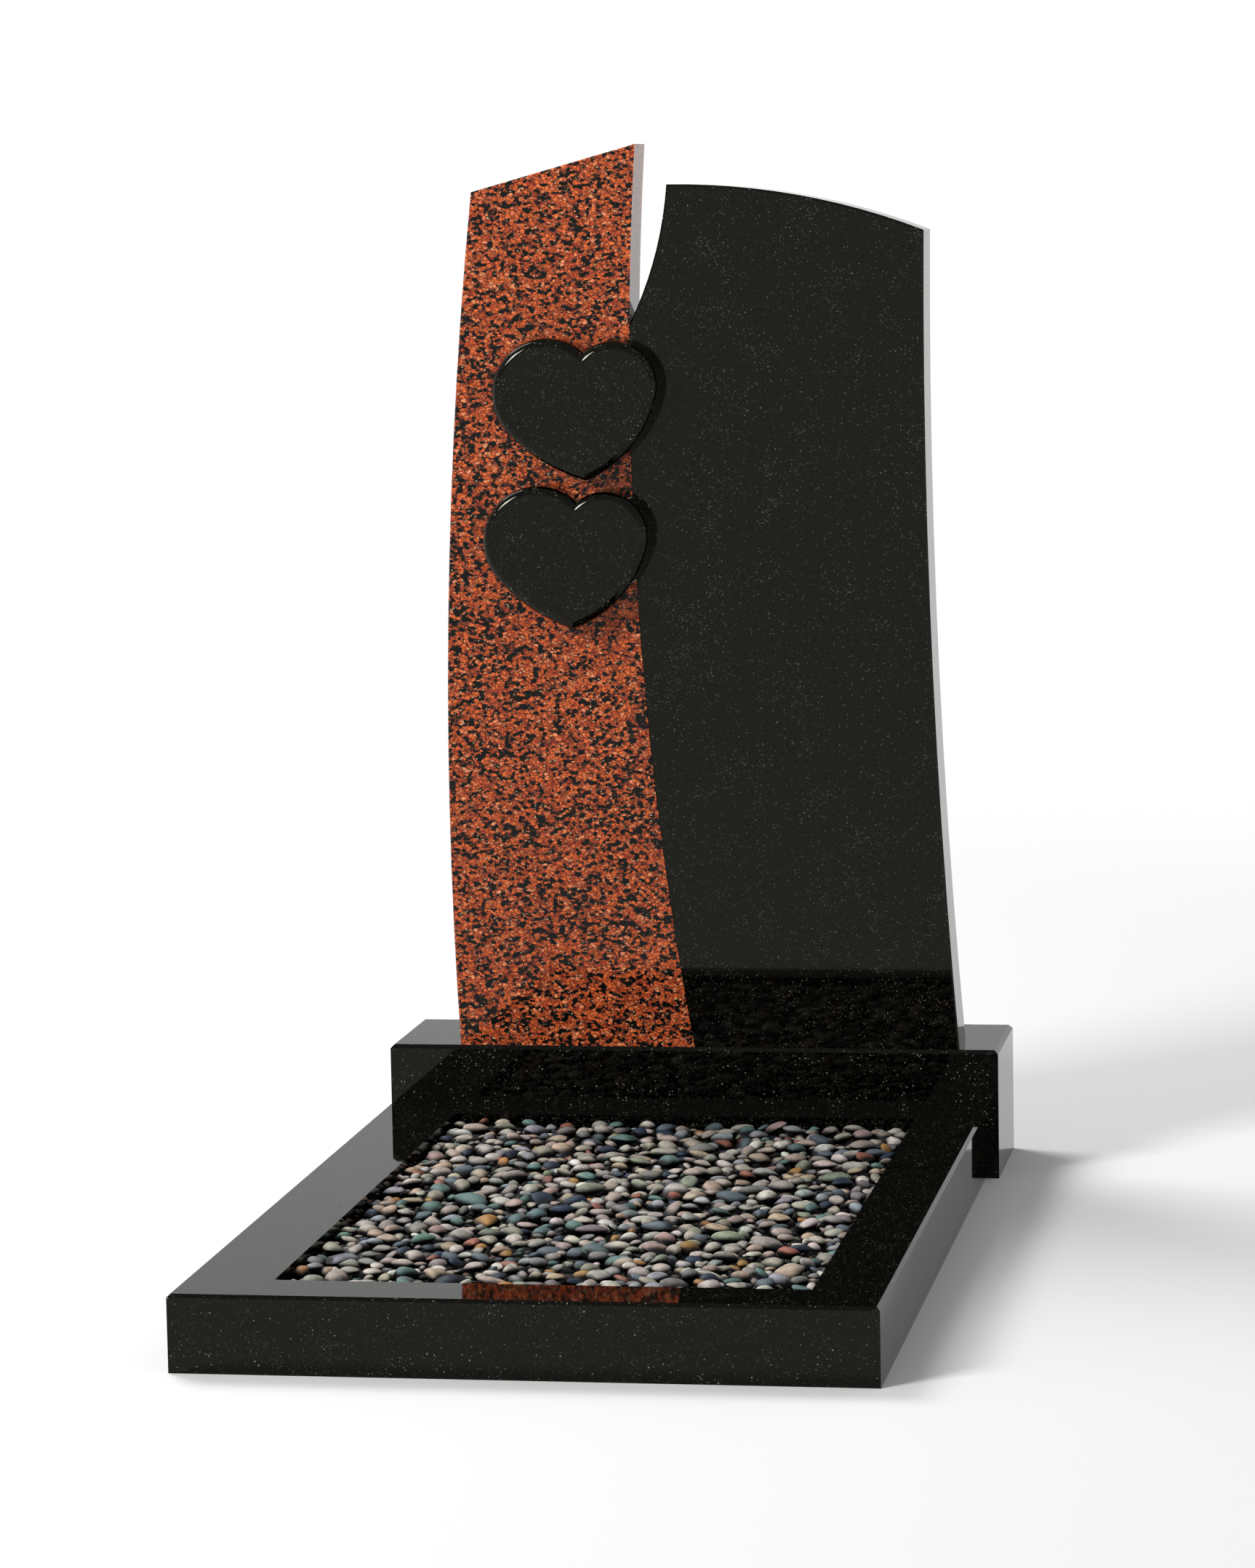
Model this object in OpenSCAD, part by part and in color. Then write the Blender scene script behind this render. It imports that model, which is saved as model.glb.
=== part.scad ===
// Grave monument of polished granite: a kerb frame filled with pebbles, a base block
// behind it, and a headstone of two curved slabs that carries two overlaid hearts.
// Millimetres, +Z up. The front faces -Y, and the origin is the middle of the footprint
// at ground level.

/* [Kerb frame] */
// Width of the kerb frame, left to right
kerb_w = 800; // [660:10:1000]
// Length of the kerb frame, front to back
kerb_l = 1170; // [800:10:1800]
// Height of the kerb frame above the ground
kerb_h = 90; // [60:1:130]
// Width of the left rail
rail_left = 104; // [60:1:150]
// Width of the right rail
rail_right = 85; // [60:1:150]
// Width of the front rail
rail_front = 83; // [60:1:150]
// Width of the back rail, which butts against the base
rail_back = 63; // [40:1:150]
// Chamfer along the outer top edges of the kerb
kerb_chamfer = 4; // [1:0.5:10]

/* [Pebble bed] */
// How far the bed's top lies below the top of the kerb
bed_drop = 5; // [1:1:30]
// Clearance between the bed and the rails
bed_gap = 0.5; // [0.2:0.1:0.9]

/* [Base] */
// Depth of the base block, front to back
base_d = 210; // [140:5:320]
// Height of the base block above the ground
base_h = 170; // [135:5:240]
// Chamfer along the top edges of the base
base_chamfer = 5; // [1:0.5:10]
// How far the base's left end stands inside the kerb's left face
base_inset = 4; // [0:1:30]
// How far the base's right end stands outside the kerb's right face
base_overhang = 18; // [0:1:30]
// Joint between the kerb's back face and the base
base_seam = 0.5; // [0.2:0.1:0.9]

/* [Slabs] */
// Thickness of both slabs
slab_t = 80; // [60:5:120]
// Arris along the tops of the slabs
top_arris = 3; // [2.5:0.5:6]
// Arris along the free upright edges of the slabs
side_arris = 2; // [1:0.2:2.4]
// Joint between the two slabs
slab_seam = 0.5; // [0.2:0.1:0.9]
// Base left free at the left of the slabs
margin_left = 95; // [40:1:120]
// Base left free at the right of the slabs
margin_right = 51; // [20:1:100]
// Width of the red slab at its foot
red_w = 316; // [260:1:380]
// Height of the red slab's right top corner above the base
red_h = 1188; // [960:1:1430]
// Slope of the red slab's top, in degrees
red_slope = 15; // [5:1:25]
// Radius of the red slab's left edge
red_edge_r = 6730; // [5600:10:8100]
// Inward lean of the red slab's left edge at its foot, in degrees
red_lean = 2.85; // [1:0.05:4]
// How far the black slab's left top corner lies below the red slab's corner
black_drop = 53; // [20:1:150]
// Radius of the black slab's arched top
black_top_r = 908; // [750:1:1100]
// Radius of the black slab's right edge
black_edge_r = 10760; // [8900:10:13000]
// Lean of the black slab's right edge at its foot, in degrees
black_lean = 4.73; // [3:0.05:6]
// Radius of the joint between the two slabs
joint_r = 4930; // [4100:10:6000]
// Lean of the joint at its foot, in degrees
joint_lean = 9.76; // [8:0.05:12]
// Radius of the scoop at the black slab's top left
scoop_r = 480; // [400:1:600]
// Height of the scoop, from the black slab's corner down to its tip
scoop_h = 180; // [120:1:230]
// Width of the opening between the slabs at the top of the black one
scoop_gap = 44; // [30:1:60]

/* [Hearts] */
// Width of each heart
heart_w = 219; // [170:1:270]
// Thickness of each heart
heart_t = 48; // [20:1:70]
// Radius of the rounded front rim of each heart
heart_rim = 11; // [4:0.5:16]
// How far the upper heart's cleft lies below the red slab's top corner
upper_drop = 268; // [250:1:400]
// Distance of the upper heart's cleft from the joint
upper_left = 54; // [40:1:110]
// Turn of the upper heart, in degrees
upper_turn = 2.4; // [-10:0.1:10]
// Gap between the upper heart's tip and the level of the lower heart's cleft
heart_gap = 28; // [28:1:80]
// Distance of the lower heart's cleft from the joint
lower_left = 68; // [40:1:110]
// Turn of the lower heart, in degrees
lower_turn = 0; // [-5:0.1:5]

/* [Hidden] */
$fn = 256;
// Reach of a cutter past the face that it cuts
over = 1;

// Footprint, and the planes and corners that the pieces share
base_w = kerb_w - base_inset + base_overhang;
total_w = kerb_w + base_overhang;
total_d = kerb_l + base_seam + base_d;
kerb_x = -total_w / 2;
front_y = -total_d / 2;
base_x = kerb_x + base_inset;
base_y = front_y + kerb_l + base_seam;
slab_y = base_y + base_chamfer;
red_x = base_x + margin_left;
joint_x = red_x + red_w;
black_x = base_x + base_w - margin_right;
black_h = red_h - black_drop;

// The scoop runs from the black slab's top corner down to its tip on the joint
scoop_top = [joint_at(black_h) + scoop_gap, black_h];
scoop_tip = [joint_at(black_h - scoop_h), black_h - scoop_h];
scoop_chord = norm(scoop_top - scoop_tip);
scoop_dir = (scoop_top - scoop_tip) / scoop_chord;
scoop_side = [-scoop_dir.y, scoop_dir.x] * sqrt(pow(scoop_r, 2) - pow(scoop_chord / 2, 2));
scoop_centre = (scoop_top + scoop_tip) / 2 + scoop_side;

// Heart outline, with its cleft at the origin: two lobes, and two larger side arcs that
// take over from the lobes at turn_left and turn_right and meet at the tip
heart_k = heart_w / 219;
lobe_left_r = 73 * heart_k;
lobe_right_r = 58 * heart_k;
side_left_r = 222 * heart_k;
side_right_r = 156 * heart_k;
turn_left = 220.5;
turn_right = -15.5;
lobe_left = -lobe_left_r * dir(45.3);
lobe_right = lobe_right_r * dir(-51);
side_left = lobe_left + (lobe_left_r - side_left_r) * dir(turn_left);
side_right = lobe_right + (lobe_right_r - side_right_r) * dir(turn_right);
heart_tip = lower_crossing(side_left, side_left_r, side_right, side_right_r);

// Heights of the two clefts above the base
upper_h = red_h - upper_drop;
lower_h = upper_h + heart_tip.y - heart_gap;

// Unit vector at an angle
function dir(a) = [cos(a), sin(a)];

// X of the joint between the slabs at height h above the base
function joint_at(h) =
    joint_x + joint_r * cos(joint_lean) - sqrt(pow(joint_r, 2) - pow(joint_r * sin(joint_lean) - h, 2));

// Lower crossing of two circles, the first with its centre at the right
function lower_crossing(a, ra, b, rb) =
    let (
        gap = norm(b - a),
        along = (pow(gap, 2) + pow(ra, 2) - pow(rb, 2)) / (2 * gap),
        aside = sqrt(pow(ra, 2) - pow(along, 2)),
        to_b = (b - a) / gap
    )
    a + along * to_b + aside * [-to_b.y, to_b.x];

// Block whose top edges are chamfered: [0, w] x [0, d] x [0, h], the back edge too if asked
module chamfered_block(w, d, h, c, back) {
    b = back ? c : 0;
    intersection() {
        rotate([90, 0, 90])
            linear_extrude(w)
                polygon([[0, 0], [d, 0], [d, h - b], [d - b, h], [c, h], [0, h - c]]);
        translate([0, d, 0])
            rotate([90, 0, 0])
                linear_extrude(d)
                    polygon([[0, 0], [w, 0], [w, h - c], [w - c, h], [c, h], [0, h - c]]);
    }
}

// Disc as thick as the slabs, upright, with chamfer c on both rims
module slab_disc(r, c) {
    rotate([-90, 0, 0])
        rotate_extrude()
            polygon([[0, 0], [r - c, 0], [r, c], [r, slab_t - c], [r - c, slab_t], [0, slab_t]]);
}

// Upright disc with plain rims that reaches from y = -out to out past the slabs' back
module plain_disc(r, out) {
    translate([0, -out, 0])
        rotate([-90, 0, 0])
            cylinder(h = slab_t + 2 * out, r = r);
}

// Cutter that leaves an arris on the concave edge that it cuts
module slab_cutter(r) {
    a = side_arris;
    f = r + a + over;
    rotate([-90, 0, 0])
        rotate_extrude()
            polygon([[0, -over], [f, -over], [r, a], [r, slab_t - a], [f, slab_t + over], [0, slab_t + over]]);
}

// Moves a disc so that its left rim starts at foot and leans to the right
module lean_from(foot, lean, r) {
    translate([foot, 0, 0])
        rotate([0, -lean, 0])
            translate([r, 0, 0])
                children();
}

// Space between two X values above the base, as thick as the slabs
module slab_space(from, to, h) {
    translate([from, 0, 0])
        cube([to - from, slab_t, h]);
}

// Everything under a sloping top whose right corner is at x, with an arris on its long edges
module sloping_top(x, h, slope) {
    a = top_arris;
    far = 2 * h;
    translate([x, 0, h])
        rotate([0, -slope, 0])
            translate([-far, 0, 0])
                rotate([90, 0, 90])
                    linear_extrude(2 * far)
                        polygon([[0, -far], [0, -a], [a, 0], [slab_t - a, 0], [slab_t, -a], [slab_t, -far]]);
}

// Flat disc with a rounded front rim
module heart_disc(r) {
    rotate_extrude() {
        square([r, heart_t - heart_rim]);
        square([r - heart_rim, heart_t]);
        translate([r - heart_rim, heart_t - heart_rim])
            circle(heart_rim);
    }
}

// One heart, its back at y = 0 and its cleft at the origin
module heart() {
    far = 2 * heart_w;
    rotate([90, 0, 0])
        union() {
            translate(lobe_left)
                heart_disc(lobe_left_r);
            translate(lobe_right)
                heart_disc(lobe_right_r);
            intersection() {
                translate(side_left)
                    heart_disc(side_left_r);
                translate(side_right)
                    heart_disc(side_right_r);
                linear_extrude(heart_t)
                    polygon([
                        lobe_left + far * dir(turn_left), lobe_left, lobe_right,
                        lobe_right + far * dir(turn_right), [far, -far], [-far, -far]
                    ]);
            }
        }
}

// Seats a heart on the slabs' front face, its cleft at height h, left of the joint
module seat_heart(h, left, turn) {
    translate([joint_at(h) - left, slab_y, base_h + h])
        rotate([0, -turn, 0])
            heart();
}

module kerb_frame() {
    color([0.13, 0.13, 0.12])
        translate([kerb_x, front_y, 0])
            difference() {
                chamfered_block(kerb_w, kerb_l, kerb_h, kerb_chamfer, false);
                translate([rail_left, rail_front, -over])
                    cube([
                        kerb_w - rail_left - rail_right,
                        kerb_l - rail_front - rail_back,
                        kerb_h + 2 * over
                    ]);
            }
}

module pebble_bed() {
    color([0.62, 0.6, 0.56])
        translate([kerb_x + rail_left + bed_gap, front_y + rail_front + bed_gap, 0])
            cube([
                kerb_w - rail_left - rail_right - 2 * bed_gap,
                kerb_l - rail_front - rail_back - 2 * bed_gap,
                kerb_h - bed_drop
            ]);
}

module base() {
    color([0.13, 0.13, 0.12])
        translate([base_x, base_y, 0])
            chamfered_block(base_w, base_d, base_h, base_chamfer, true);
}

module red_slab() {
    color([0.72, 0.33, 0.2])
        translate([0, slab_y, base_h])
            difference() {
                intersection() {
                    slab_space(red_x - red_w, joint_x + over, red_h + over);
                    lean_from(red_x, red_lean, red_edge_r)
                        slab_disc(red_edge_r, side_arris);
                    sloping_top(joint_at(red_h), red_h, red_slope);
                }
                lean_from(joint_x, joint_lean, joint_r)
                    plain_disc(joint_r, over);
            }
}

module black_slab() {
    color([0.13, 0.13, 0.12])
        translate([0, slab_y, base_h])
            difference() {
                intersection() {
                    slab_space(joint_x - red_w, black_x + over, black_h + over);
                    lean_from(joint_x + slab_seam, joint_lean, joint_r)
                        plain_disc(joint_r, over);
                    translate([scoop_top.x, 0, black_h - black_top_r])
                        slab_disc(black_top_r, top_arris);
                }
                lean_from(black_x, black_lean, black_edge_r)
                    slab_cutter(black_edge_r);
                translate([scoop_centre.x, 0, scoop_centre.y])
                    slab_cutter(scoop_r);
            }
}

module heart_upper() {
    color([0.16, 0.16, 0.15])
        seat_heart(upper_h, upper_left, upper_turn);
}

module heart_lower() {
    color([0.16, 0.16, 0.15])
        seat_heart(lower_h, lower_left, lower_turn);
}

kerb_frame();
pebble_bed();
base();
red_slab();
black_slab();
heart_upper();
heart_lower();
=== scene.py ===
import math
import time

import bpy
import numpy as np
from mathutils import Matrix, Vector


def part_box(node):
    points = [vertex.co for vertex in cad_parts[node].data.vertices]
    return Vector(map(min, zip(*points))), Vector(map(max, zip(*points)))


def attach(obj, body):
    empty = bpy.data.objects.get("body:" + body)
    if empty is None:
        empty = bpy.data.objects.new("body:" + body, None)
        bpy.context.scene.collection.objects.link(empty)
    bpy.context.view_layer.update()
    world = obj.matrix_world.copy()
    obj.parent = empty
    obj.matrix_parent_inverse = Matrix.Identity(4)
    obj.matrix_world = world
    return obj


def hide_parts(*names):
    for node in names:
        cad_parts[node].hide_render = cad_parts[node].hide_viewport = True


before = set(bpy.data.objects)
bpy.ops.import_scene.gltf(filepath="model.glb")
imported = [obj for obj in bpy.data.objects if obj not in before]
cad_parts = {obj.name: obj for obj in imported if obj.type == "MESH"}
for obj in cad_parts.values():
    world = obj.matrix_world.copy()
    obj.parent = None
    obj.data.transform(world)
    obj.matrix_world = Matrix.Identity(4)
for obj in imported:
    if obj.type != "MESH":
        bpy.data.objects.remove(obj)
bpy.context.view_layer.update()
startTime = time.time()
scene = bpy.context.scene


def report(text):
    print(f"[{time.time() - startTime:5.1f} s] {text}")


def newMaterial(name):
    material = bpy.data.materials.new(name)
    material.use_nodes = True
    tree = material.node_tree
    tree.nodes.clear()
    return material, tree


def addNode(tree, kind, inputs=None, **settings):
    node = tree.nodes.new("ShaderNode" + kind)
    for key, value in settings.items():
        setattr(node, key, value)
    for key, value in (inputs or {}).items():
        if isinstance(value, bpy.types.NodeSocket):
            tree.links.new(value, node.inputs[key])
        else:
            node.inputs[key].default_value = value
    return node


def ramp(tree, factor, stops, interpolation="LINEAR"):
    # stops: (place, colour) from dark to light end
    node = tree.nodes.new("ShaderNodeValToRGB")
    tree.links.new(factor, node.inputs["Fac"])
    node.color_ramp.interpolation = interpolation
    elements = node.color_ramp.elements
    while len(elements) < len(stops):
        elements.new(0.5)
    for element, (place, colour) in zip(elements, stops):
        element.position = place
    for element, (place, colour) in zip(elements, stops):
        element.color = (*colour, 1) if len(colour) == 3 else colour
    return node.outputs["Color"]


def grey(value):
    return (value, value, value)


def greyRamp(tree, factor, stops):
    return ramp(tree, factor, [(place, grey(value)) for place, value in stops])


def step(tree, factor, edges, before, after):
    # soft step from one grey to another between two edges
    return greyRamp(tree, factor, [(edges[0], before), (edges[1], after)])


def mixColour(tree, factor, first, second, blend="MIX"):
    node = tree.nodes.new("ShaderNodeMix")
    node.data_type = "RGBA"
    node.blend_type = blend
    for index, value in ((0, factor), (6, first), (7, second)):
        if isinstance(value, bpy.types.NodeSocket):
            tree.links.new(value, node.inputs[index])
        elif index == 0:
            node.inputs[index].default_value = value
        else:
            node.inputs[index].default_value = (*value, 1)
    return node.outputs[2]


def maths(tree, operation, first, second=0.0, clamp=False):
    node = tree.nodes.new("ShaderNodeMath")
    node.operation = operation
    node.use_clamp = clamp
    for index, value in ((0, first), (1, second)):
        if isinstance(value, bpy.types.NodeSocket):
            tree.links.new(value, node.inputs[index])
        else:
            node.inputs[index].default_value = value
    return node.outputs[0]


def noise(tree, place, scale, detail, roughness=0.5):
    return addNode(tree, "TexNoise", {"Vector": place, "Scale": scale, "Detail": detail,
                                      "Roughness": roughness}).outputs


def stretched(tree, place, factors):
    return addNode(tree, "VectorMath", {0: place, 1: factors}, operation="MULTIPLY").outputs[0]


def shaken(tree, place, scale, detail, reach):
    # shifts a pattern's place a little, so that its grains get ragged outlines
    shift = stretched(tree, noise(tree, place, scale, detail)["Color"], (reach, reach, reach))
    return addNode(tree, "VectorMath", {0: place, 1: shift}, operation="ADD").outputs[0]


def finishShader(tree, colour, roughness, ior, tint=(1, 1, 1), bump=None):
    shader = addNode(tree, "BsdfPrincipled")
    tree.links.new(colour, shader.inputs["Base Color"])
    if isinstance(roughness, bpy.types.NodeSocket):
        tree.links.new(roughness, shader.inputs["Roughness"])
    else:
        shader.inputs["Roughness"].default_value = roughness
    shader.inputs["IOR"].default_value = ior
    shader.inputs["Specular Tint"].default_value = (*tint, 1)
    if bump is not None:
        tree.links.new(bump, shader.inputs["Normal"])
    output = addNode(tree, "OutputMaterial")
    tree.links.new(shader.outputs["BSDF"], output.inputs["Surface"])


blackGranite = {
    "ground": (0.0003, 0.0003, 0.00025),    # darkest mineral
    "grain": (0.0068, 0.0070, 0.0052),      # slightly lighter mineral
    "fleck": (0.215, 0.220, 0.172),         # bright specks
    "grainsPerMetre": 330,
    "flecksPerMetre": 480,
    "clustersPerMetre": 24.0,
    "raggedness": 0.0022,                   # how far the flecks' outlines stray
    "fleckShare": 0.22,                     # share of grains that may shine, inside a cluster
    "looseShare": 0.050,                    # and outside one
    "shakesPerMetre": 500.0,
    "grainEdges": (0.54, 0.68),             # noise level where ground turns to grain
    "clusterEdges": (0.50, 0.68),
    "fleckEdges": (0.26, 0.50),             # a fleck's solid middle, and its outline
    "fleckStrengths": [(0.0, 0.06), (0.6, 0.25), (1.0, 1.0)],   # most flecks are dim
    "roughness": 0.03,
    "ior": 1.28,
    "tint": (1.0, 0.98, 0.84),              # its shine is faintly warm
}


def makeBlackGranite():
    s = blackGranite
    material, tree = newMaterial("black_granite_polished")
    place = addNode(tree, "TexCoord").outputs["Object"]
    grain = noise(tree, place, s["grainsPerMetre"], 3.0, 0.6)["Fac"]
    body = ramp(tree, grain, [(s["grainEdges"][0], s["ground"]), (s["grainEdges"][1], s["grain"])])
    # flecks: single grains that shine, gathered in loose clusters
    bent = shaken(tree, place, s["shakesPerMetre"], 1.0, s["raggedness"])
    cells = addNode(tree, "TexVoronoi", {"Vector": bent, "Scale": s["flecksPerMetre"]})
    pick = addNode(tree, "SeparateColor", {"Color": cells.outputs["Color"]})
    cluster = noise(tree, place, s["clustersPerMetre"], 4.0, 0.65)["Fac"]
    gather = step(tree, cluster, s["clusterEdges"], 0.0, 1.0)
    chance = maths(tree, "MULTIPLY", gather, s["fleckShare"])
    chance = maths(tree, "ADD", chance, s["looseShare"])
    chosen = maths(tree, "LESS_THAN", pick.outputs["Red"], chance)
    core = step(tree, cells.outputs["Distance"], s["fleckEdges"], 1.0, 0.0)
    strength = maths(tree, "MULTIPLY", chosen, core)
    dim = greyRamp(tree, pick.outputs["Green"], s["fleckStrengths"])
    strength = maths(tree, "MULTIPLY", strength, dim)
    colour = mixColour(tree, strength, body, s["fleck"])
    finishShader(tree, colour, s["roughness"], s["ior"], s["tint"])
    return material


redGranite = {
    "orange": (0.70, 0.138, 0.034),
    "brick": (0.48, 0.070, 0.020),
    "salmon": (0.86, 0.300, 0.135),
    "border": (0.080, 0.010, 0.006),        # thin seams between grains
    "mica": (0.0015, 0.0030, 0.0026),
    "quartz": (0.060, 0.030, 0.022),
    "maroon": (0.150, 0.014, 0.008),        # stained feldspar
    "pale": (0.52, 0.40, 0.22),             # small light specks
    "grainsPerMetre": 205,
    "stainsPerMetre": 170.0,
    "clumpsPerMetre": 118.0,
    "bandsPerMetre": (4.0, 4.0, 17.0),      # flat bands, richer and poorer in dark grains
    "specksPerMetre": 420.0,
    "speckShare": 0.035,
    "raggedness": 0.0052,
    "shakesPerMetre": 230.0,
    "stretch": (0.86, 1.0, 1.18),           # grains lie a little wider than tall
    "toneEdges": (0.34, 0.74),              # shares of brick, orange and salmon grains
    "finePerMetre": 640.0,
    "fineShades": [(0.36, 0.28), (0.56, 1.0), (0.72, 1.6)],     # mottling inside a grain
    "stainEdges": (0.50, 0.66),
    "stainStrength": 0.80,
    "seamEdges": (0.02, 0.17),
    "seamStrength": 0.85,
    "grainWeight": 0.38,                    # what decides on mica, beside the clumps
    "bandWeight": 0.16,
    "micaEdges": (0.678, 0.708),
    "quartzEdges": (0.708, 0.748),
    "speckEdges": (0.30, 0.52),
    "speckStrength": 0.85,
    "roughness": 0.045,
    "ior": 1.26,
    "tint": (1.0, 0.96, 0.92),
}


def makeRedGranite():
    s = redGranite
    material, tree = newMaterial("red_granite_polished")
    rawPlace = addNode(tree, "TexCoord").outputs["Object"]
    place = stretched(tree, rawPlace, s["stretch"])
    bent = shaken(tree, place, s["shakesPerMetre"], 3.0, s["raggedness"])
    spread = {"Vector": bent, "Scale": s["grainsPerMetre"]}
    cells = addNode(tree, "TexVoronoi", spread)
    seams = addNode(tree, "TexVoronoi", spread, feature="DISTANCE_TO_EDGE")
    pick = addNode(tree, "SeparateColor", {"Color": cells.outputs["Color"]})
    orangeFrom, orangeTo = s["toneEdges"]
    feldspar = ramp(tree, pick.outputs["Red"], [
        (0.0, s["brick"]), (orangeFrom, s["orange"]), (orangeTo, s["orange"]), (1.0, s["salmon"])])
    fine = noise(tree, place, s["finePerMetre"], 3.0, 0.7)["Fac"]
    shade = greyRamp(tree, fine, s["fineShades"])
    feldspar = mixColour(tree, 1.0, feldspar, shade, "MULTIPLY")
    stain = noise(tree, place, s["stainsPerMetre"], 2.0, 0.6)["Fac"]
    stain = step(tree, stain, s["stainEdges"], 0.0, s["stainStrength"])
    feldspar = mixColour(tree, stain, feldspar, s["maroon"])
    edge = step(tree, seams.outputs["Distance"], s["seamEdges"], 1.0, 0.0)
    edge = maths(tree, "MULTIPLY", edge, s["seamStrength"])
    feldspar = mixColour(tree, edge, feldspar, s["border"])
    # mica and quartz fill the spaces between the feldspar grains, in strings and clumps
    clump = noise(tree, place, s["clumpsPerMetre"], 3.0, 0.62)["Fac"]
    band = noise(tree, stretched(tree, rawPlace, s["bandsPerMetre"]), 1.0, 3.0)["Fac"]
    vote = maths(tree, "MULTIPLY", pick.outputs["Green"], s["grainWeight"])
    vote = maths(tree, "ADD", clump, vote)
    drift = maths(tree, "MULTIPLY", band, s["bandWeight"])
    vote = maths(tree, "ADD", vote, drift)
    isMica = step(tree, vote, s["micaEdges"], 1.0, 0.0)
    isQuartz = step(tree, vote, s["quartzEdges"], 1.0, 0.0)
    colour = mixColour(tree, isQuartz, feldspar, s["quartz"])
    colour = mixColour(tree, isMica, colour, s["mica"])
    bits = addNode(tree, "TexVoronoi", {"Vector": bent, "Scale": s["specksPerMetre"]})
    chosen = addNode(tree, "SeparateColor", {"Color": bits.outputs["Color"]}).outputs["Red"]
    chosen = maths(tree, "LESS_THAN", chosen, s["speckShare"])
    core = step(tree, bits.outputs["Distance"], s["speckEdges"], s["speckStrength"], 0.0)
    strength = maths(tree, "MULTIPLY", chosen, core)
    colour = mixColour(tree, strength, colour, s["pale"])
    finishShader(tree, colour, s["roughness"], s["ior"], s["tint"])
    return material


pebbleBed = {
    "seed": 12,
    "grid": 0.0016,             # spacing of the height field that the stones settle on
    "layerFloor": 0.060,        # level that the lowest stones lie on
    "kerbTop": 0.0892,          # no stone reaches above this
    "wallGap": 0.0006,
    "middling": 0.0096,         # half length of a middling stone
    "spread": 0.46,
    "shortest": 0.0058,
    "longest": 0.0255,
    "breadth": (0.56, 0.88),    # of the length
    "height": (0.46, 0.76),     # of the breadth
    "underStones": 1300,
    "underRoom": 0.013,         # the lower stones stay this far below the kerb's top
    "stones": 2700,
    "tries": 60,                # places looked at for each stone
    "mostMisses": 60,           # stones in a row that may find no room
    "flatter": 0.25,            # how far a lie that doesn't stand up is preferred
    "fillers": 420,             # small stones for the last hollows
    "fillerRoom": 0.002,
    "fillerTries": 160,
    "fillerSize": 0.56,
    "fillerSpread": 0.22,
    "lean": 30.0,               # usual lean of a stone, in degrees
    "mostLean": 62.0,
    "hollowReach": 0.010,       # a gap is judged against the bed this far round it
    # painted shade in the hollows between stones: how deep a point lies decides how dark its colour is
    # painted
    "unshadedAbove": 0.0035,       # stones get no painted shade this far above the bed around them
    "shadedBelow": 0.0006,        # and are painted black with shade this far below it
    "topReach": 0.0050,         # painted shade also falls below the tops this near
    "unshadedUnder": 0.0020,       # unshaded down to this depth below them
    "shadedUnder": 0.0066,        # black from this depth
    "darkestShade": 0.004,          # what the painted shade leaves of a stone's colour
    "toneSpread": (0.72, 1.12), # stones of one tone differ in lightness
    "tintSpread": 0.035,        # and a little in hue
    "toneLimits": (0.012, 0.85),
    "lumpStep": 2,              # the lower bed's mesh is this much coarser than the grid
    "lumpSink": 0.0012,         # and lies this far below the lower stones
    # the lower bed's colour: near black, painted shade in the gaps between the stones above
    "lumpShade": 0.006,
}

# colour, and how often it turns up
pebbleTones = [
    ((0.345, 0.300, 0.250), 20),
    ((0.410, 0.372, 0.328), 17),
    ((0.275, 0.255, 0.228), 12),
    ((0.370, 0.282, 0.205), 9),
    ((0.350, 0.262, 0.230), 8),
    ((0.175, 0.170, 0.165), 8),
    ((0.250, 0.265, 0.280), 7),
    ((0.090, 0.115, 0.135), 7),
    ((0.095, 0.165, 0.150), 9),
    ((0.210, 0.225, 0.170), 5),
    ((0.018, 0.030, 0.055), 7),
    ((0.240, 0.095, 0.065), 3),
    ((0.310, 0.165, 0.050), 3),
    ((0.520, 0.485, 0.440), 8),
]


def roundForm(steps):
    # sphere made of six grids, as quads
    line = np.tan(np.linspace(-math.pi / 4, math.pi / 4, steps + 1))
    found, points, faces = {}, [], []

    def index(p):
        key = tuple(np.round(p, 6))
        if key not in found:
            found[key] = len(points)
            points.append(p / np.linalg.norm(p))
        return found[key]

    for axis in range(3):
        for side in (-1, 1):
            for i in range(steps):
                for j in range(steps):
                    corners = []
                    for di, dj in ((0, 0), (1, 0), (1, 1), (0, 1)):
                        p = np.zeros(3)
                        p[axis] = side
                        p[(axis + 1) % 3] = line[i + di]
                        p[(axis + 2) % 3] = line[j + dj]
                        corners.append(index(p))
                    faces.append(corners if side > 0 else corners[::-1])
    return np.array(points), np.array(faces)


def turnMatrix(yaw, tilt, toward):
    # lies at yaw, then leans by tilt toward a heading
    flat = np.array(Matrix.Rotation(yaw, 3, "Z"))
    lean = np.array(Matrix.Rotation(tilt, 3, Vector((-math.sin(toward), math.cos(toward), 0))))
    return lean @ flat


def stoneHeights(half, turn, cell):
    # lower and upper surface of a tilted ellipsoid over the grid, around its centre
    shape = turn @ np.diag(1 / half ** 2) @ turn.T
    cover = np.linalg.inv(shape)
    reachX, reachY = math.sqrt(cover[0, 0]), math.sqrt(cover[1, 1])
    nx, ny = int(reachX / cell), int(reachY / cell)
    x = np.arange(-nx, nx + 1)[:, None] * cell
    y = np.arange(-ny, ny + 1)[None, :] * cell
    b = shape[0, 2] * x + shape[1, 2] * y
    c = shape[0, 0] * x * x + 2 * shape[0, 1] * x * y + shape[1, 1] * y * y - 1
    inside = b * b - shape[2, 2] * c
    mask = inside > 0
    root = np.sqrt(np.where(mask, inside, 0))
    low = np.where(mask, (-b - root) / shape[2, 2], 9.0)
    high = np.where(mask, (-b + root) / shape[2, 2], -9.0)
    return nx, ny, low, high, mask


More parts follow.
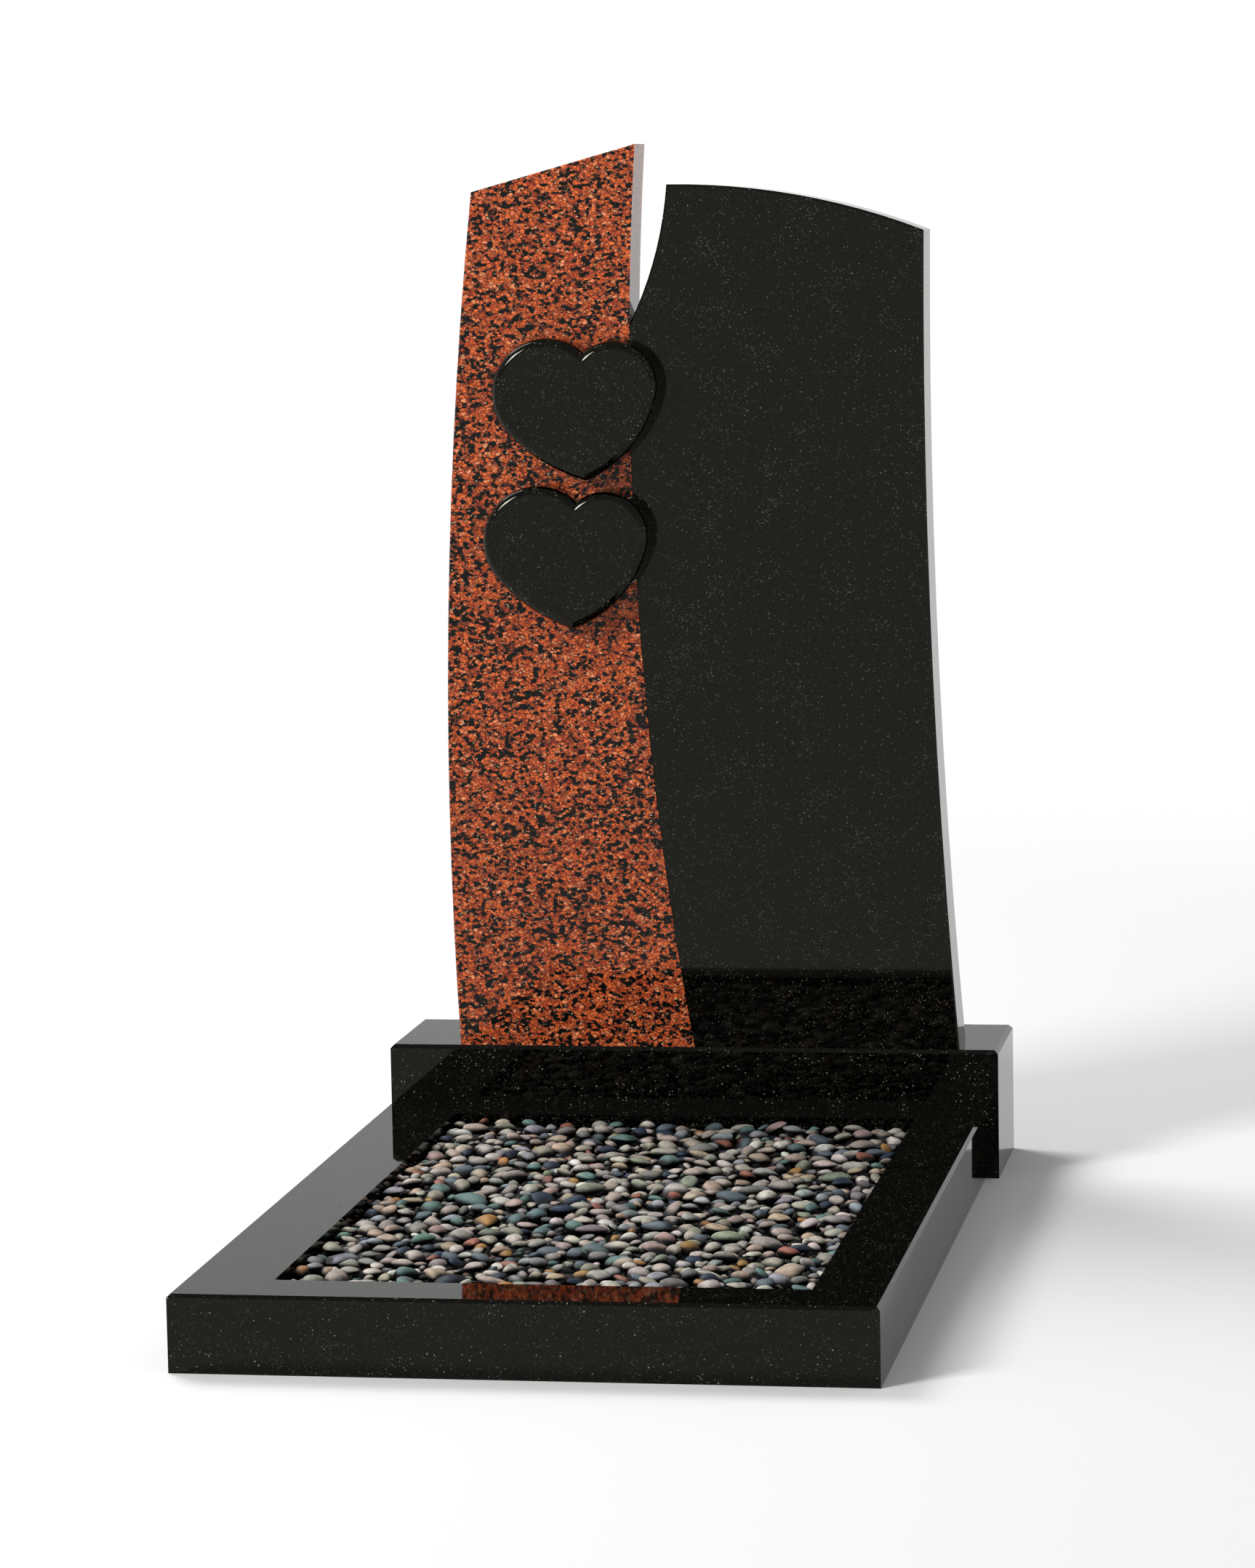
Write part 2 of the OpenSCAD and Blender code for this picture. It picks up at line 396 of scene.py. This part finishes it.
def settleStones(low, high):
    s = pebbleBed
    random = np.random.default_rng(s["seed"])
    cell = s["grid"]
    countX = int((high.x - low.x - 2 * s["wallGap"]) / cell) + 1
    countY = int((high.y - low.y - 2 * s["wallGap"]) / cell) + 1
    level = np.full((countX, countY), s["layerFloor"])
    originX = (low.x + high.x) / 2 - (countX - 1) * cell / 2
    originY = (low.y + high.y) / 2 - (countY - 1) * cell / 2
    stones = []

    def drop(half, tries, ceiling, tilts):
        best = None
        for t in range(tilts):
            yaw = random.uniform(0, math.pi)
            lean = math.radians(min(abs(random.normal(0, s["lean"])), s["mostLean"]))
            turn = turnMatrix(yaw, lean, random.uniform(0, 2 * math.pi))
            nx, ny, under, over, mask = stoneHeights(half, turn, cell)
            if 2 * nx + 3 > countX or 2 * ny + 3 > countY:
                continue
            spotsX = random.integers(nx, countX - nx, tries)
            spotsY = random.integers(ny, countY - ny, tries)
            lowest = np.argsort(level[spotsX, spotsY])[:max(4, tries // 5)]
            top = over.max()
            for k in lowest:
                i, j = spotsX[k], spotsY[k]
                piece = level[i - nx:i + nx + 1, j - ny:j + ny + 1]
                rest = (piece - under).max()
                if rest + top > ceiling:
                    continue
                score = rest + s["flatter"] * top
                if best is None or score < best[0]:
                    best = (score, rest, i, j, nx, ny, over, mask, turn)
        if best is None:
            return None
        rest, i, j, nx, ny, over, mask, turn = best[1:]
        piece = level[i - nx:i + nx + 1, j - ny:j + ny + 1]
        raised = np.where(mask, np.maximum(piece, rest + over), piece)
        level[i - nx:i + nx + 1, j - ny:j + ny + 1] = raised
        return np.array([originX + i * cell, originY + j * cell, rest]), turn

    def size(middling, spread):
        a = float(np.clip(random.lognormal(math.log(middling), spread), s["shortest"], s["longest"]))
        b = a * random.uniform(*s["breadth"])
        c = b * random.uniform(*s["height"])
        return np.array([a, b, c])

    for n in range(s["underStones"]):
        drop(size(s["middling"], s["spread"]), s["tries"], s["kerbTop"] - s["underRoom"], 1)
    underLevel = level.copy()
    misses = 0
    for n in range(s["stones"]):
        half = size(s["middling"], s["spread"])
        made = drop(half, s["tries"], s["kerbTop"], 2)
        misses = misses + 1 if made is None else 0
        if made is not None:
            stones.append((half, *made))
        if misses > s["mostMisses"]:
            break
    report(f"{len(stones)} main stones")
    for n in range(s["fillers"]):
        half = size(s["middling"] * s["fillerSize"], s["fillerSpread"])
        made = drop(half, s["fillerTries"], s["kerbTop"] - s["fillerRoom"], 3)
        if made is not None:
            stones.append((half, *made))
    return stones, underLevel, level, originX, originY, cell


def meshFrom(name, points, quads):
    mesh = bpy.data.meshes.new(name)
    mesh.vertices.add(len(points))
    mesh.vertices.foreach_set("co", np.asarray(points, np.float32).ravel())
    mesh.loops.add(quads.size)
    mesh.loops.foreach_set("vertex_index", np.asarray(quads, np.int32).ravel())
    mesh.polygons.add(len(quads))
    mesh.polygons.foreach_set("loop_start", np.arange(0, quads.size, 4, dtype=np.int32))
    mesh.update(calc_edges=True)
    mesh.validate()
    return mesh


def paintStones(mesh, tones):
    tones = np.column_stack([tones, np.ones(len(tones))])
    attribute = mesh.color_attributes.new("stoneToneAndShade", "FLOAT_COLOR", "POINT")
    attribute.data.foreach_set("color", tones.astype(np.float32).ravel())


def addPiece(name, mesh, material, smooth=True):
    piece = bpy.data.objects.new(name, mesh)
    scene.collection.objects.link(piece)
    mesh.materials.append(material)
    if smooth:
        mesh.polygons.foreach_set("use_smooth", np.ones(len(mesh.polygons), bool))
    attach(piece, "root")
    return piece


wornShape = {
    "lumps": 3,
    "lumpHeight": (0.015, 0.045),
    "lumpWaves": (1.6, 3.4),
    "flats": (2, 5),            # from two to four
    "flatFrom": (0.74, 0.92),   # distance from the middle where a flat begins
    "flatness": 0.72,
    "lens": (1.0, 1.5),         # higher is sharper at the rim
    "taper": 0.28,              # one end may be this much narrower
    "thinning": 0.25,           # and thinner
    "shrink": 0.985,
}


def shapeStone(form, random, half, turn, centre):
    # a worn stone: soft lumps, a few soft flats, then its own size and lie
    s = wornShape
    points = form.copy()
    swell = np.zeros(len(points))
    for k in range(s["lumps"]):
        axis = random.normal(size=3)
        axis /= np.linalg.norm(axis)
        height = random.uniform(*s["lumpHeight"])
        waves = random.uniform(*s["lumpWaves"])
        start = random.uniform(0, 6.28)
        swell += height * np.cos(waves * (points @ axis) * math.pi / 2 + start)
    points *= (1 + swell)[:, None]
    for k in range(random.integers(*s["flats"])):
        axis = random.normal(size=3)
        axis /= np.linalg.norm(axis)
        depth = points @ axis - random.uniform(*s["flatFrom"])
        points -= np.where(depth > 0, depth * s["flatness"], 0)[:, None] * axis
    lens = random.uniform(*s["lens"])
    points[:, 2] = np.sign(points[:, 2]) * np.abs(points[:, 2]) ** lens
    points[:, 1] *= 1 - random.uniform(-s["taper"], s["taper"]) * points[:, 0]
    points[:, 2] *= 1 - random.uniform(-s["thinning"], s["thinning"]) * points[:, 0]
    return (points * half * s["shrink"]) @ turn.T + centre


def smoothLevel(level, reach):
    # mean of the bed's height in a square window, twice over
    for turn in range(2):
        padded = np.pad(level, ((reach + 1, reach), (reach + 1, reach)), mode="edge")
        total = padded.cumsum(0).cumsum(1)
        width = 2 * reach + 1
        level = (total[width:, width:] - total[:-width, width:] - total[width:, :-width]
                 + total[:-width, :-width]) / width ** 2
    return level


def nearTops(level, reach):
    # highest point of the bed in a square window
    for axis in range(2):
        level = np.max([np.roll(level, shift, axis) for shift in range(-reach, reach + 1)], axis=0)
    return level


# piece, shortest half length in it, and how finely its stones are meshed
stoneGroups = [
    ("pebbles_large", 0.0155, 7),
    ("pebbles_medium", 0.0110, 5),
    ("pebbles_small", 0.0084, 4),
    ("pebbles_gravel", 0.0, 4),
]
hiddenStones = ("pebbles_under", 0.004, 3)      # piece, depth under other stones, mesh


def groupOf(half, covered):
    if covered > hiddenStones[1]:
        return hiddenStones[0], hiddenStones[2]
    for name, shortest, steps in stoneGroups:
        if half[0] > shortest:
            return name, steps


def buildStones(stones, level, originX, originY, cell, material):
    s = pebbleBed
    random = np.random.default_rng(s["seed"] + 1)
    around = smoothLevel(level, int(s["hollowReach"] / cell))
    tops = smoothLevel(nearTops(level, int(s["topReach"] / cell)), 1)
    kinds = stoneGroups + [hiddenStones]
    forms = {steps: roundForm(steps) for steps in {kind[2] for kind in kinds}}
    shares = np.array([share for colour, share in pebbleTones], float)
    shares /= shares.sum()
    groups = {kind[0]: [] for kind in kinds}
    for half, centre, turn in stones:
        # a stone whose middle is well covered by others needs less detail
        i = int(round((centre[0] - originX) / cell))
        j = int(round((centre[1] - originY) / cell))
        patch = level[max(i - 2, 0):i + 3, max(j - 2, 0):j + 3]
        covered = float(np.median(patch)) - (centre[2] + half[2])
        name, steps = groupOf(half, covered)
        tone = np.array(pebbleTones[random.choice(len(pebbleTones), p=shares)][0])
        lightness = random.uniform(*s["toneSpread"])
        tone = tone * (lightness + random.normal(0, s["tintSpread"], 3))
        tone = np.clip(tone, *s["toneLimits"])
        points = shapeStone(forms[steps][0], random, half, turn, centre)
        column = np.clip(np.rint((points[:, 0] - originX) / cell).astype(int), 0, level.shape[0] - 1)
        row = np.clip(np.rint((points[:, 1] - originY) / cell).astype(int), 0, level.shape[1] - 1)
        # painted shade: each point is darkened toward black where it lies below the bed's mean level
        # around it, or deep below the nearby tops, as the shade in the hollows between stones
        above = points[:, 2] - around[column, row]
        unshaded = np.clip((above + s["shadedBelow"]) / (s["unshadedAbove"] + s["shadedBelow"]), 0, 1)
        under = tops[column, row] - points[:, 2]
        unshaded *= np.clip((s["shadedUnder"] - under) / (s["shadedUnder"] - s["unshadedUnder"]), 0, 1)
        paintedShade = s["darkestShade"] + (1 - s["darkestShade"]) * unshaded * unshaded * (3 - 2 * unshaded)
        groups[name].append((points, forms[steps][1], tone * paintedShade[:, None]))
    for name, members in groups.items():
        if not members:
            continue
        points = np.concatenate([m[0] for m in members])
        offsets = np.cumsum([0] + [len(m[0]) for m in members[:-1]])
        quads = np.concatenate([m[1] + o for m, o in zip(members, offsets)])
        mesh = meshFrom(name, points, quads)
        paintStones(mesh, np.concatenate([m[2] for m in members]))
        piece = addPiece(name, mesh, material)
        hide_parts("pebble_bed")
        report(f"{name}: {len(members)} stones, {2 * len(quads)} triangles")


def buildUnderBed(level, originX, originY, cell, material):
    # the stones below the top layers, as one closed lump whose top is their relief, painted near black
    # as the shade between the stones above it
    s = pebbleBed
    coarser = s["lumpStep"]
    top = level[::coarser, ::coarser]
    nx, ny = top.shape
    x = originX + np.arange(nx) * cell * coarser
    y = originY + np.arange(ny) * cell * coarser
    gridX, gridY = np.meshgrid(x, y, indexing="ij")
    upper = np.stack([gridX, gridY, top - s["lumpSink"]], -1).reshape(-1, 3)
    index = np.arange(nx * ny).reshape(nx, ny)
    surface = np.stack([index[:-1, :-1], index[1:, :-1], index[1:, 1:], index[:-1, 1:]], -1)
    quads = [surface.reshape(-1, 4)]
    rim = np.concatenate([index[:, 0], index[-1, 1:], index[-2::-1, -1], index[0, -2:0:-1]])
    foot = upper[rim].copy()
    foot[:, 2] = 0.0
    start = len(upper)
    lower = start + np.arange(len(rim))
    quads.append(np.stack([rim, lower, np.roll(lower, -1), np.roll(rim, -1)], -1))
    points = np.concatenate([upper, foot])
    mesh = bpy.data.meshes.new("pebbles_lower_bed")
    faces = np.concatenate(quads).tolist() + [lower[::-1].tolist()]
    mesh.from_pydata(points.tolist(), [], faces)
    mesh.update()
    mesh.validate()
    # painted shade: the whole lump is near black
    paintStones(mesh, np.full((len(points), 3), s["lumpShade"]))
    piece = addPiece("pebbles_lower_bed", mesh, material, smooth=False)
    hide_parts("pebble_bed")


pebbleFace = {
    "blotchesPerMetre": 120.0,
    "specksPerMetre": 1100.0,
    "blotchShades": [(0.32, 0.72), (0.68, 1.18)],
    "speckShades": [(0.34, 0.70), (0.50, 1.0), (0.68, 1.12)],
    "roughness": (0.50, 0.72),
    "roughnessEdges": (0.3, 0.7),
    "bump": {"Strength": 0.18, "Distance": 0.0004},
    "ior": 1.30,
}


def makePebble():
    s = pebbleFace
    material, tree = newMaterial("river_pebble")
    place = addNode(tree, "TexCoord").outputs["Object"]
    # the stone's own tone, times the painted shade from buildStones
    tone = addNode(tree, "Attribute", attribute_name="stoneToneAndShade").outputs["Color"]
    blotch = noise(tree, place, s["blotchesPerMetre"], 4.0, 0.6)["Fac"]
    shade = greyRamp(tree, blotch, s["blotchShades"])
    colour = mixColour(tree, 1.0, tone, shade, "MULTIPLY")
    speck = noise(tree, place, s["specksPerMetre"], 2.0, 0.7)["Fac"]
    shade = greyRamp(tree, speck, s["speckShades"])
    colour = mixColour(tree, 1.0, colour, shade, "MULTIPLY")
    roughness = step(tree, blotch, s["roughnessEdges"], *s["roughness"])
    height = addNode(tree, "Bump", {"Height": speck, **s["bump"]})
    finishShader(tree, colour, roughness, s["ior"], bump=height.outputs["Normal"])
    return material


blackStone = makeBlackGranite()
redStone = makeRedGranite()
pebbleStone = makePebble()

finishes = {
    "kerb_frame": blackStone,
    "base": blackStone,
    "black_slab": blackStone,
    "heart_upper": blackStone,
    "heart_lower": blackStone,
    "red_slab": redStone,
    "pebble_bed": pebbleStone,
}
for name, material in finishes.items():
    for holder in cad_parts[name].material_slots:
        holder.material = material
report("stone finishes on the slabs, base, kerb and hearts")

bedLow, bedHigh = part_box("pebble_bed")
stones, underLevel, level, originX, originY, cell = settleStones(bedLow, bedHigh)
report(f"{len(stones)} stones settled, top at {level.max() * 1000:.1f} mm")
buildUnderBed(underLevel, originX, originY, cell, pebbleStone)
buildStones(stones, level, originX, originY, cell, pebbleStone)

studio = {
    "horizon": 1.0,                             # brightness of the surroundings at eye level
    "sky": [(0.04, 1.0), (0.13, 0.62), (0.5, 0.54), (1.0, 0.40)],   # and higher up
    "floorColour": (0.72, 0.72, 0.72),
    "floorSize": 60.0,
    "fadeFrom": 1.5,                            # the floor melts into the surroundings
    "fadeTo": 4.6,
    "aim": (0.0, 0.2, 0.6),
    "lamps": {
        # name: place, size, power
        "key_softbox": ((-6.4, -7.2, 5.6), (3.0, 2.2), 1060.0),
        "top_softbox": ((-3.0, 2.6, 5.2), (2.6, 2.6), 280.0),
    },
}


def makeStudio():
    s = studio
    world = bpy.data.worlds.new("white_surroundings")
    scene.world = world
    world.use_nodes = True
    background = world.node_tree.nodes["Background"]
    heading = addNode(world.node_tree, "TexCoord").outputs["Generated"]
    height = addNode(world.node_tree, "SeparateXYZ", {"Vector": heading}).outputs["Z"]
    sky = greyRamp(world.node_tree, height, s["sky"])
    world.node_tree.links.new(sky, background.inputs["Color"])

    half = s["floorSize"] / 2
    mesh = bpy.data.meshes.new("floor")
    corners = [(-half, -half, 0), (half, -half, 0), (half, half, 0), (-half, half, 0)]
    mesh.from_pydata(corners, [], [(0, 1, 2, 3)])
    floor = bpy.data.objects.new("floor", mesh)
    scene.collection.objects.link(floor)
    material, tree = newMaterial("matt_floor")
    matt = addNode(tree, "BsdfPrincipled", {"Base Color": (*s["floorColour"], 1), "Roughness": 1.0,
                                            "Specular IOR Level": 0.0})
    glow = addNode(tree, "Emission", {"Strength": s["horizon"]})
    place = addNode(tree, "TexCoord").outputs["Object"]
    away = addNode(tree, "VectorMath", {0: place}, operation="LENGTH").outputs["Value"]
    fade = addNode(tree, "MapRange", {"Value": away, "From Min": s["fadeFrom"], "From Max": s["fadeTo"]},
                   interpolation_type="SMOOTHSTEP").outputs["Result"]
    blend = addNode(tree, "MixShader", {0: fade, 1: matt.outputs[0], 2: glow.outputs[0]})
    output = addNode(tree, "OutputMaterial")
    tree.links.new(blend.outputs[0], output.inputs["Surface"])
    mesh.materials.append(material)

    for name, (place, size, power) in s["lamps"].items():
        lamp = bpy.data.lights.new(name, "AREA")
        lamp.shape = "RECTANGLE"
        lamp.size, lamp.size_y = size
        lamp.energy = power
        holder = bpy.data.objects.new(name, lamp)
        scene.collection.objects.link(holder)
        holder.location = place
        holder.rotation_euler = (Vector(s["aim"]) - Vector(place)).to_track_quat("-Z", "Y").to_euler()


viewpoint = {
    "place": (1.0448, -6.0812, 1.3162),
    "yaw": 9.70,
    "pitch": 6.81,
    "roll": -1.07,
    "lens": 116.8,
}


def makeCamera():
    s = viewpoint
    data = bpy.data.cameras.new("camera")
    data.sensor_width = 36.0
    data.lens = s["lens"]
    data.clip_end = 200.0
    camera = bpy.data.objects.new("camera", data)
    scene.collection.objects.link(camera)
    turn = Matrix.Rotation(math.radians(s["yaw"]), 4, "Z")
    turn = turn @ Matrix.Rotation(math.radians(90 - s["pitch"]), 4, "X")
    turn = turn @ Matrix.Rotation(math.radians(s["roll"]), 4, "Z")
    camera.matrix_world = Matrix.Translation(s["place"]) @ turn
    scene.camera = camera


makeStudio()
makeCamera()
scene.view_settings.view_transform = "Standard"
report("studio and camera")

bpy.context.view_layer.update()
report("sizes written")
